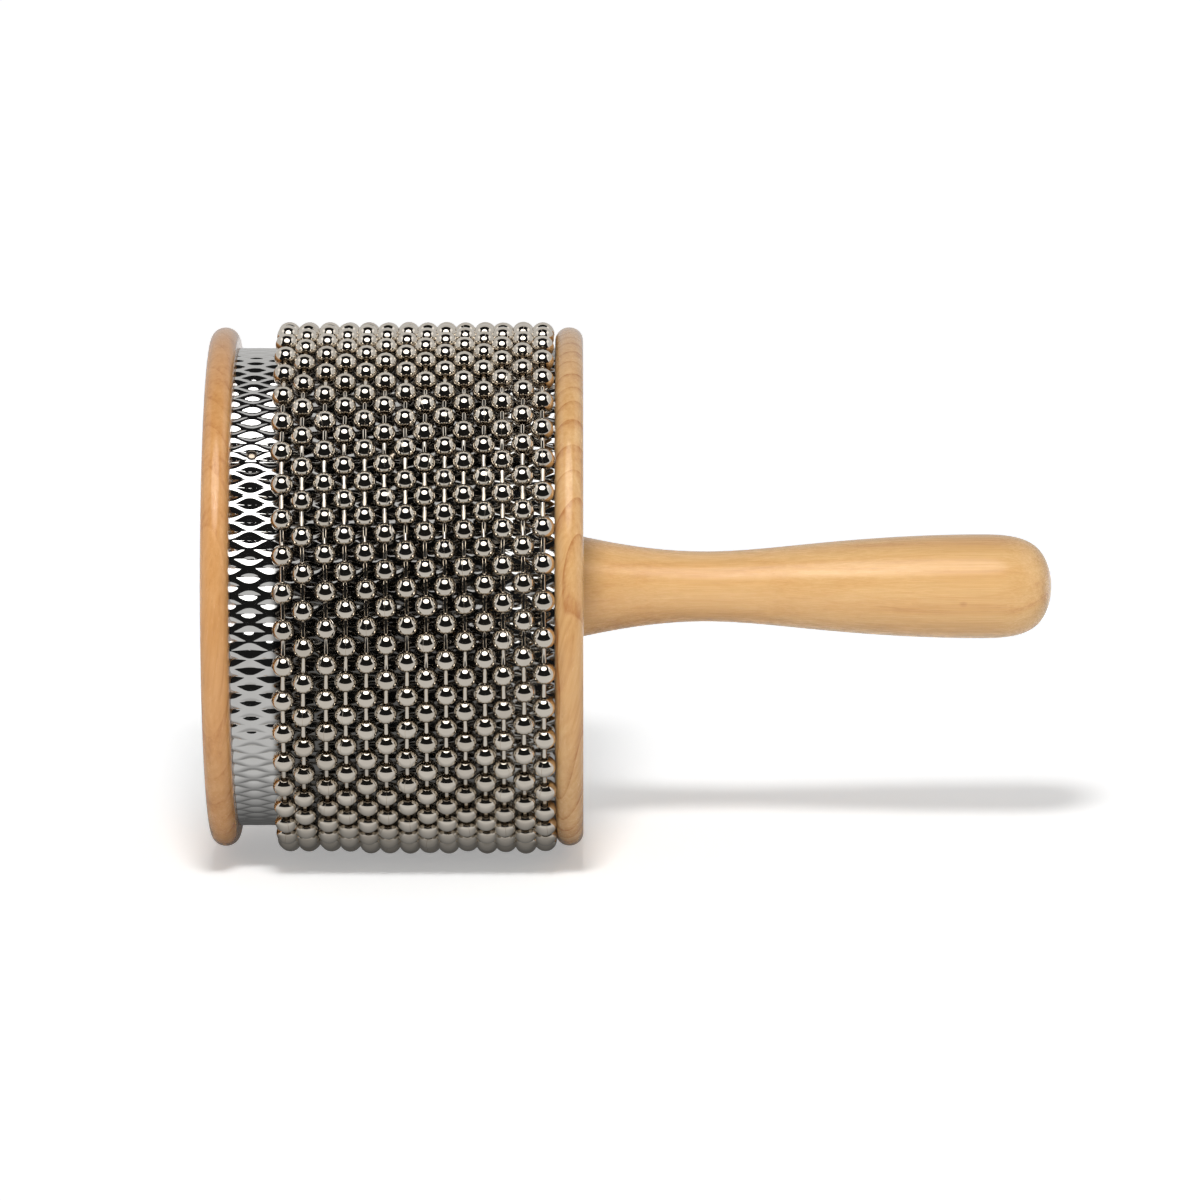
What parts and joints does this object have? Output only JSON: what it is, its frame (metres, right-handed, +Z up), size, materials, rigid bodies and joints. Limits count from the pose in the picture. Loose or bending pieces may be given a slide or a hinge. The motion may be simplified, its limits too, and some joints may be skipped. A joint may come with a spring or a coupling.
{
  "type": "cabasa",
  "caption": "Wooden spool wrapped in dented sheet steel, with loose loops of ball chain that spin and slide on it, on a turned handle. A hand percussion instrument.",
  "frame": {"origin": "on the surface that the loops rest on, under the middle of the overall length", "axes": "+X along the spool's axis towards the handle's end, +Z up, as it lies on its side"},
  "size_m": [0.1864, 0.1188, 0.1188],
  "materials": {
    "maple": "clear satin lacquer",
    "core_wood": "bare turned wood",
    "bright_steel": "bright, with pressed dents",
    "nickel_plate": "bright nickel",
    "nail_steel": "worn plating",
    "zinc_steel": "zinc plated"
  },
  "bodies": {
    "drum": {"core": "core_wood", "end_disc": "maple", "handle_disc": "maple", "handle": "maple", "steel_sleeve": "bright_steel", "sleeve_nails": "nail_steel", "draw_screw": "zinc_steel", "screw_washer": "zinc_steel", "end_plug": "maple"},
    "handle_side_loop": {"loop_14_balls": "nickel_plate", "loop_14_links": "nickel_plate"},
    "sliding_loops": {"loop_01_balls": "nickel_plate", "loop_01_links": "nickel_plate", "loop_02_balls": "nickel_plate", "loop_02_links": "nickel_plate", "loop_03_balls": "nickel_plate", "loop_03_links": "nickel_plate", "loop_04_balls": "nickel_plate", "loop_04_links": "nickel_plate", "loop_05_balls": "nickel_plate", "loop_05_links": "nickel_plate", "loop_06_balls": "nickel_plate", "loop_06_links": "nickel_plate", "loop_07_balls": "nickel_plate", "loop_07_links": "nickel_plate", "loop_08_balls": "nickel_plate", "loop_08_links": "nickel_plate", "loop_09_balls": "nickel_plate", "loop_09_links": "nickel_plate", "loop_10_balls": "nickel_plate", "loop_10_links": "nickel_plate", "loop_11_balls": "nickel_plate", "loop_11_links": "nickel_plate", "loop_12_balls": "nickel_plate", "loop_12_links": "nickel_plate", "loop_13_balls": "nickel_plate", "loop_13_links": "nickel_plate"}
  },
  "joints": [
    {"name": "bead_spin", "type": "hinge", "parent": "drum", "child": "handle_side_loop", "pos_m": [0, 0, 0.05941], "axis": [1, 0, 0], "continuous": true},
    {"name": "bead_shift", "type": "slide", "parent": "handle_side_loop", "child": "sliding_loops", "axis": [1, 0, 0], "range_m": [-0.0088, 0]}
  ]
}
